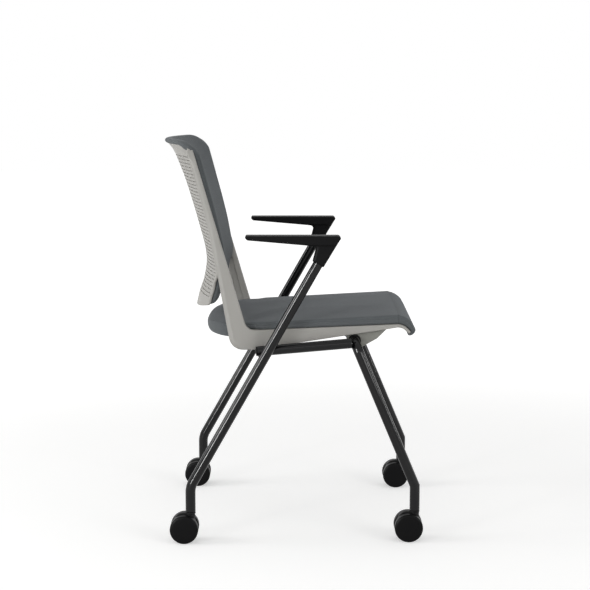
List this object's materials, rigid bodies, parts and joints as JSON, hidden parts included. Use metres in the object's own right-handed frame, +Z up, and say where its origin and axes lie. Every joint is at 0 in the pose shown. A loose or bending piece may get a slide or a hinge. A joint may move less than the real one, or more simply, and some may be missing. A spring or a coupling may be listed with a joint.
{
  "type": "nesting chair",
  "caption": "Nesting armchair on twin-wheel casters: tip-up padded shell with a slotted back on a bent black tube frame with fixed arms.",
  "frame": {"origin": "on the floor under the middle of the bounding box, between the front and the rear casters", "axes": "+Z up, the chair faces -Y, and the right hand of the sitter is at -X"},
  "size_m": [0.582, 0.5729, 0.8719],
  "materials": {
    "frame_paint": "satin-gloss black powder coat on steel tube",
    "arm_plastic": "fine-grained matte black armrest moulding",
    "black_nylon": "black nylon",
    "wheel_plastic": "smooth black wheel plastic",
    "black_rubber": "soft black rubber",
    "bright_steel": "zinc-plated steel",
    "shell_plastic": "warm light grey textured polypropylene",
    "under_plastic": "mid grey glass-filled plastic",
    "pad_fabric": "closely woven grey upholstery cloth on foam"
  },
  "bodies": {
    "frame": {"front_leg_frame": "frame_paint", "rear_leg_right": "frame_paint", "side_tube_right": "frame_paint", "rear_leg_left": "frame_paint", "side_tube_left": "frame_paint", "rear_cross_tube": "frame_paint", "side_tube_plug_right": "black_nylon", "side_tube_plug_left": "black_nylon", "seat_buffer_right": "black_rubber", "seat_buffer_left": "black_rubber", "arm_pad_right": "arm_plastic", "arm_pad_left": "arm_plastic", "front_caster_right_socket": "black_nylon", "rear_caster_right_socket": "black_nylon", "front_caster_left_socket": "black_nylon", "rear_caster_left_socket": "black_nylon"},
    "shell": {"side_arm_right": "shell_plastic", "side_arm_left": "shell_plastic", "back_shell": "shell_plastic", "seat_pan": "under_plastic", "pan_screw_right_front": "bright_steel", "pan_screw_right_rear": "bright_steel", "pan_screw_left_front": "bright_steel", "pan_screw_left_rear": "bright_steel", "pivot_bracket_right": "under_plastic", "pivot_clamp_right": "under_plastic", "pivot_bush_right": "black_nylon", "clamp_screw_right_lower": "bright_steel", "clamp_screw_right_upper": "bright_steel", "pivot_bracket_left": "under_plastic", "pivot_clamp_left": "under_plastic", "pivot_bush_left": "black_nylon", "clamp_screw_left_lower": "bright_steel", "clamp_screw_left_upper": "bright_steel", "seat_pad": "pad_fabric", "back_pad": "pad_fabric"},
    "front_caster_right_fork": {"front_caster_right_hood": "black_nylon", "front_caster_right_stem": "bright_steel", "front_caster_right_axle": "bright_steel"},
    "front_caster_right_outer": {"front_caster_right_wheel_outer": "wheel_plastic"},
    "front_caster_right_inner": {"front_caster_right_wheel_inner": "wheel_plastic"},
    "front_caster_left_fork": {"front_caster_left_hood": "black_nylon", "front_caster_left_stem": "bright_steel", "front_caster_left_axle": "bright_steel"},
    "front_caster_left_outer": {"front_caster_left_wheel_outer": "wheel_plastic"},
    "front_caster_left_inner": {"front_caster_left_wheel_inner": "wheel_plastic"},
    "rear_caster_right_fork": {"rear_caster_right_hood": "black_nylon", "rear_caster_right_stem": "bright_steel", "rear_caster_right_axle": "bright_steel"},
    "rear_caster_right_outer": {"rear_caster_right_wheel_outer": "wheel_plastic"},
    "rear_caster_right_inner": {"rear_caster_right_wheel_inner": "wheel_plastic"},
    "rear_caster_left_fork": {"rear_caster_left_hood": "black_nylon", "rear_caster_left_stem": "bright_steel", "rear_caster_left_axle": "bright_steel"},
    "rear_caster_left_outer": {"rear_caster_left_wheel_outer": "wheel_plastic"},
    "rear_caster_left_inner": {"rear_caster_left_wheel_inner": "wheel_plastic"}
  },
  "joints": [
    {"name": "shell_tilt", "type": "hinge", "parent": "frame", "child": "shell", "pos_m": [0, -0.1385, 0.4345], "axis": [1, 0, 0], "range_deg": [0, 60]},
    {"name": "front_caster_right_swivel", "type": "hinge", "parent": "frame", "child": "front_caster_right_fork", "pos_m": [-0.249, -0.27, 0.08], "axis": [0, 0, 1], "continuous": true},
    {"name": "front_caster_right_outer_roll", "type": "hinge", "parent": "front_caster_right_fork", "child": "front_caster_right_outer", "pos_m": [-0.267, -0.2565, 0.031], "axis": [1, 0, 0], "continuous": true},
    {"name": "front_caster_right_inner_roll", "type": "hinge", "parent": "front_caster_right_fork", "child": "front_caster_right_inner", "pos_m": [-0.231, -0.2565, 0.031], "axis": [1, 0, 0], "continuous": true},
    {"name": "front_caster_left_swivel", "type": "hinge", "parent": "frame", "child": "front_caster_left_fork", "pos_m": [0.249, -0.27, 0.08], "axis": [0, 0, 1], "continuous": true},
    {"name": "front_caster_left_outer_roll", "type": "hinge", "parent": "front_caster_left_fork", "child": "front_caster_left_outer", "pos_m": [0.267, -0.2565, 0.031], "axis": [1, 0, 0], "continuous": true},
    {"name": "front_caster_left_inner_roll", "type": "hinge", "parent": "front_caster_left_fork", "child": "front_caster_left_inner", "pos_m": [0.231, -0.2565, 0.031], "axis": [1, 0, 0], "continuous": true},
    {"name": "rear_caster_right_swivel", "type": "hinge", "parent": "frame", "child": "rear_caster_right_fork", "pos_m": [-0.263, 0.22, 0.08], "axis": [0, 0, 1], "continuous": true},
    {"name": "rear_caster_right_outer_roll", "type": "hinge", "parent": "rear_caster_right_fork", "child": "rear_caster_right_outer", "pos_m": [-0.281, 0.2335, 0.031], "axis": [1, 0, 0], "continuous": true},
    {"name": "rear_caster_right_inner_roll", "type": "hinge", "parent": "rear_caster_right_fork", "child": "rear_caster_right_inner", "pos_m": [-0.245, 0.2335, 0.031], "axis": [1, 0, 0], "continuous": true},
    {"name": "rear_caster_left_swivel", "type": "hinge", "parent": "frame", "child": "rear_caster_left_fork", "pos_m": [0.263, 0.22, 0.08], "axis": [0, 0, 1], "continuous": true},
    {"name": "rear_caster_left_outer_roll", "type": "hinge", "parent": "rear_caster_left_fork", "child": "rear_caster_left_outer", "pos_m": [0.281, 0.2335, 0.031], "axis": [1, 0, 0], "continuous": true},
    {"name": "rear_caster_left_inner_roll", "type": "hinge", "parent": "rear_caster_left_fork", "child": "rear_caster_left_inner", "pos_m": [0.245, 0.2335, 0.031], "axis": [1, 0, 0], "continuous": true}
  ]
}
